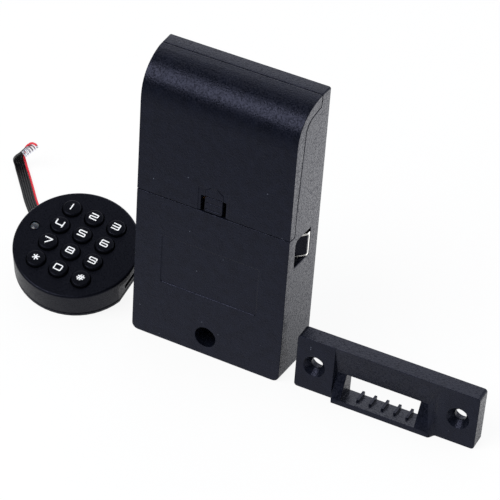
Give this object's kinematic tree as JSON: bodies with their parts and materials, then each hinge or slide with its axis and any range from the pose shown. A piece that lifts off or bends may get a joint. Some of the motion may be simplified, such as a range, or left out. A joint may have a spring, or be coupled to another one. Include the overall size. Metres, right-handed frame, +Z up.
{
  "type": "electronic cabinet lock",
  "caption": "Electronic cabinet lock kit: lock body with motor-driven bolt and battery bay, round keypad on a ribbon cable, and strike plate.",
  "frame": {"origin": "middle of the lock body's bottom face", "axes": "+X the way the bolt leaves the body, +Y towards the back that is screwed to the door, +Z up"},
  "size_m": [0.2281, 0.081, 0.1145],
  "materials": {
    "graphite_abs": "dark graphite ABS with a fine spark-eroded matt texture",
    "black_abs": "near-black moulded plastic, fine matt texture",
    "key_cap": "near-black caps with white printed numbers",
    "silicone": "grey silicone",
    "steel": "bright rolled steel",
    "nickel": "nickel-plated spring steel",
    "brass": "plain brass plates",
    "circuit_board": "green solder mask",
    "nylon": "natural white nylon",
    "cell_wrap": "plain shrink wrap over a steel can",
    "chip": "black moulded epoxy",
    "lens": "milky clear light pipe",
    "cable": "dark vinyl ribbon cable with one red wire"
  },
  "bodies": {
    "root": {"housing": "graphite_abs", "back_plate": "graphite_abs", "strike_plate": "graphite_abs", "keypad_shell": "black_abs", "keypad_back": "black_abs", "buzzer": "black_abs", "key_mat": "silicone", "motor_can": "steel", "bolt_spring": "steel", "case_screw_1": "steel", "case_screw_2": "steel", "case_screw_3": "steel", "case_screw_4": "steel", "keypad_screw_1": "steel", "keypad_screw_2": "steel", "keypad_screw_3": "steel", "contact_bottom_left": "nickel", "contact_bottom_right": "nickel", "contact_top_left": "nickel", "contact_top_middle": "nickel", "contact_top_right": "nickel", "contact_spring_1": "nickel", "contact_spring_2": "nickel", "contact_spring_3": "nickel", "contact_spring_4": "nickel", "power_port": "nickel", "gearbox": "brass", "main_board": "circuit_board", "keypad_board": "circuit_board", "cable_socket": "nylon", "battery_cell_1": "cell_wrap", "battery_cell_2": "cell_wrap", "battery_cell_3": "cell_wrap", "battery_cell_4": "cell_wrap", "controller_chip": "chip", "led_lens": "lens", "ribbon_cable": "cable"},
    "bolt": {"bolt": "black_abs", "bolt_strip": "steel"},
    "pinion": {"pinion": "nylon", "output_shaft": "steel"},
    "cover": {"battery_cover": "graphite_abs"},
    "tab": {"cover_tab": "graphite_abs"},
    "key_1": {"key_1": "key_cap"},
    "key_2": {"key_2": "key_cap"},
    "key_3": {"key_3": "key_cap"},
    "key_4": {"key_4": "key_cap"},
    "key_5": {"key_5": "key_cap"},
    "key_6": {"key_6": "key_cap"},
    "key_7": {"key_7": "key_cap"},
    "key_8": {"key_8": "key_cap"},
    "key_9": {"key_9": "key_cap"},
    "key_star": {"key_star": "key_cap"},
    "key_0": {"key_0": "key_cap"},
    "key_hash": {"key_hash": "key_cap"}
  },
  "joints": [
    {"name": "bolt_slide", "type": "slide", "parent": "root", "child": "bolt", "axis": [1, 0, 0], "range_m": [0, 0.009], "deforming": ["bolt_spring"]},
    {"name": "pinion_spin", "type": "hinge", "parent": "root", "child": "pinion", "pos_m": [-0.004, -0.00307, 0.0533], "axis": [0, 0, -1], "range_deg": [0, 172]},
    {"name": "cover_swing", "type": "hinge", "parent": "root", "child": "cover", "pos_m": [0, 0.00464, 0.1144], "axis": [-1, 0, 0], "range_deg": [0, 60]},
    {"name": "tab_flex", "type": "hinge", "parent": "cover", "child": "tab", "pos_m": [0, -0.00875, 0.06855], "axis": [1, 0, 0], "range_deg": [0, 8], "stiffness_Nm_per_rad": 0.1},
    {"name": "press_1", "type": "slide", "parent": "root", "child": "key_1", "axis": [-0.1029, 0.3123, -0.9444], "range_m": [0, 0.0007], "stiffness_N_per_m": 400},
    {"name": "press_2", "type": "slide", "parent": "root", "child": "key_2", "axis": [-0.1029, 0.3123, -0.9444], "range_m": [0, 0.0007], "stiffness_N_per_m": 400},
    {"name": "press_3", "type": "slide", "parent": "root", "child": "key_3", "axis": [-0.1029, 0.3123, -0.9444], "range_m": [0, 0.0007], "stiffness_N_per_m": 400},
    {"name": "press_4", "type": "slide", "parent": "root", "child": "key_4", "axis": [-0.1029, 0.3123, -0.9444], "range_m": [0, 0.0007], "stiffness_N_per_m": 400},
    {"name": "press_5", "type": "slide", "parent": "root", "child": "key_5", "axis": [-0.1029, 0.3123, -0.9444], "range_m": [0, 0.0007], "stiffness_N_per_m": 400},
    {"name": "press_6", "type": "slide", "parent": "root", "child": "key_6", "axis": [-0.1029, 0.3123, -0.9444], "range_m": [0, 0.0007], "stiffness_N_per_m": 400},
    {"name": "press_7", "type": "slide", "parent": "root", "child": "key_7", "axis": [-0.1029, 0.3123, -0.9444], "range_m": [0, 0.0007], "stiffness_N_per_m": 400},
    {"name": "press_8", "type": "slide", "parent": "root", "child": "key_8", "axis": [-0.1029, 0.3123, -0.9444], "range_m": [0, 0.0007], "stiffness_N_per_m": 400},
    {"name": "press_9", "type": "slide", "parent": "root", "child": "key_9", "axis": [-0.1029, 0.3123, -0.9444], "range_m": [0, 0.0007], "stiffness_N_per_m": 400},
    {"name": "press_star", "type": "slide", "parent": "root", "child": "key_star", "axis": [-0.1029, 0.3123, -0.9444], "range_m": [0, 0.0007], "stiffness_N_per_m": 400},
    {"name": "press_0", "type": "slide", "parent": "root", "child": "key_0", "axis": [-0.1029, 0.3123, -0.9444], "range_m": [0, 0.0007], "stiffness_N_per_m": 400},
    {"name": "press_hash", "type": "slide", "parent": "root", "child": "key_hash", "axis": [-0.1029, 0.3123, -0.9444], "range_m": [0, 0.0007], "stiffness_N_per_m": 400}
  ],
  "couplings": [
    {"joint": "pinion_spin", "follows": "bolt_slide", "rad_per_m": 333.33}
  ]
}
